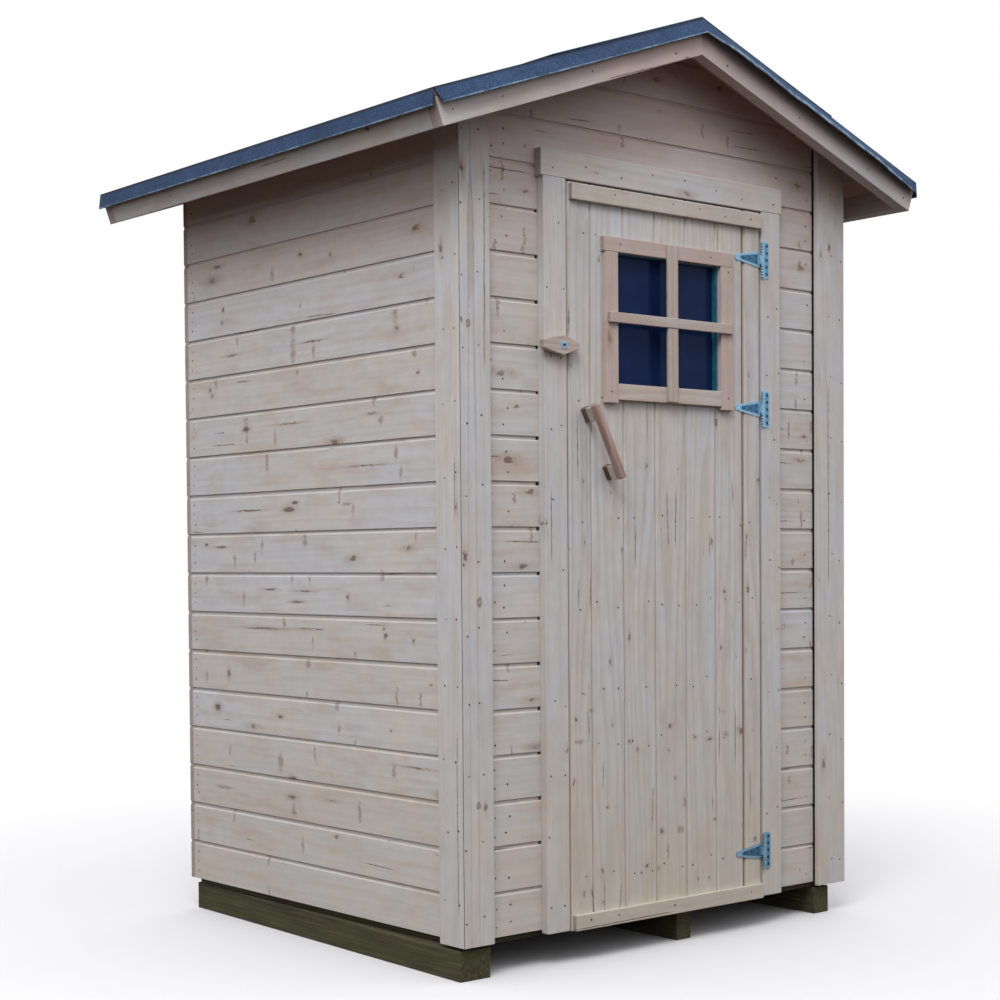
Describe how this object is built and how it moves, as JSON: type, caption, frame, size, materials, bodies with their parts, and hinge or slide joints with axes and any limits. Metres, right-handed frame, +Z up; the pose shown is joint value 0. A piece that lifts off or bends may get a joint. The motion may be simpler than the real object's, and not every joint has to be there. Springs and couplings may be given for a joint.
{
  "type": "outhouse",
  "caption": "Timber outhouse with a gable roof of felt, horizontal boards, a ledged door with a small window, a turn button and three bearers.",
  "frame": {"origin": "centre of the building's footprint, on the ground under the bearers", "axes": "+X to the right along the door front, +Y from the door to the back wall, +Z up"},
  "size_m": [1.7674, 1.6184, 2.4026],
  "materials": {
    "wall_wood": "untreated, weathered",
    "trim_wood": "untreated, weathered",
    "inner_wood": "untreated",
    "slat_wood": "untreated, pinkish",
    "handle_wood": "worn",
    "treated_wood": "pressure treated",
    "roof_felt": "mineral granules",
    "zinc": "zinc plated",
    "glass": "clear"
  },
  "bodies": {
    "building": {"bearer_left": "treated_wood", "bearer_centre": "treated_wood", "bearer_right": "treated_wood", "floor_frame_ends": "treated_wood", "floor_frame_sides": "treated_wood", "floor_deck": "inner_wood", "left_wall": "wall_wood", "right_wall": "wall_wood", "back_wall": "wall_wood", "front_wall_left": "wall_wood", "front_wall_right": "wall_wood", "front_wall_gable": "wall_wood", "front_wall_sill": "wall_wood", "corner_posts": "inner_wood", "door_posts": "inner_wood", "door_header": "inner_wood", "wall_plates": "inner_wood", "trim_front_left": "trim_wood", "trim_front_right": "trim_wood", "trim_side_left": "trim_wood", "trim_side_right": "trim_wood", "casing_left": "trim_wood", "casing_right": "trim_wood", "casing_head": "trim_wood", "roof_deck_left": "inner_wood", "roof_deck_right": "inner_wood", "barge_front_left": "trim_wood", "barge_front_right": "trim_wood", "barge_back_left": "trim_wood", "barge_back_right": "trim_wood", "eave_boards": "trim_wood", "roof_felt_left": "roof_felt", "roof_felt_right": "roof_felt", "hinge_leaves": "zinc", "button_screw": "zinc"},
    "door": {"door_leaf": "wall_wood", "door_battens": "trim_wood", "door_ledges": "inner_wood", "window_slats": "slat_wood", "window_bars": "slat_wood", "window_glass": "glass", "hinge_straps": "zinc", "handle_bar": "handle_wood", "handle_standoffs": "trim_wood"},
    "turn_button": {"turn_button": "trim_wood"}
  },
  "joints": [
    {"name": "door_swing", "type": "hinge", "parent": "building", "child": "door", "pos_m": [0.35025, -0.6725, 0], "axis": [0, 0, 1], "range_deg": [0, 110]},
    {"name": "button_turn", "type": "hinge", "parent": "building", "child": "turn_button", "pos_m": [-0.3955, -0.68, 1.551], "axis": [0, -1, 0], "continuous": true}
  ]
}
